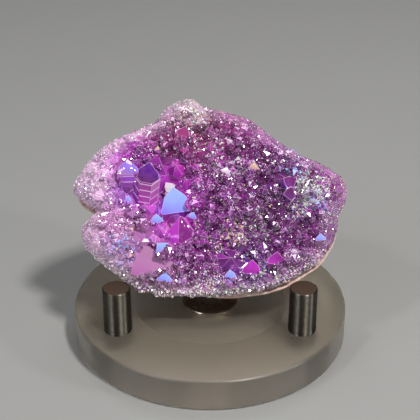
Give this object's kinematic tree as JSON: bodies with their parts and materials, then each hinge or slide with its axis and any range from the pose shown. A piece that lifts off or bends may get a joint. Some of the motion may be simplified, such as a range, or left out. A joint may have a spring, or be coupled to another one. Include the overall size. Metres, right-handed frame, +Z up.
{
  "type": "aura quartz geode on a pin stand",
  "caption": "Chunk of amethyst geode with an iridescent metallic crust of quartz crystals, leaning back on pins in a frosted acrylic display disc.",
  "frame": {"origin": "centre of the disc's underside, on the surface that it stands on", "axes": "+Z up, -Y towards the viewer that the crystals face, +X to that viewer's right"},
  "size_m": [0.0636, 0.0636, 0.053],
  "materials": {
    "acrylic": "frosted smoke-grey acrylic, cloudy and partly see-through",
    "pin_steel": "turned steel with fine marks round it and a small bright chamfer",
    "hub_nickel": "polished nickel that mirrors the stone",
    "rock": "matt salmon-pink and tan chalcedony rind",
    "aura_quartz": "amethyst crystals under a thin metal-vapour coat, violet, magenta, blue and gold by turns"
  },
  "bodies": {
    "root": {"display_disc": "acrylic", "rear_pin": "pin_steel", "front_left_pin": "pin_steel", "front_right_pin": "pin_steel", "centre_hub": "hub_nickel", "matrix": "rock", "crystal_crust": "aura_quartz"}
  },
  "joints": []
}
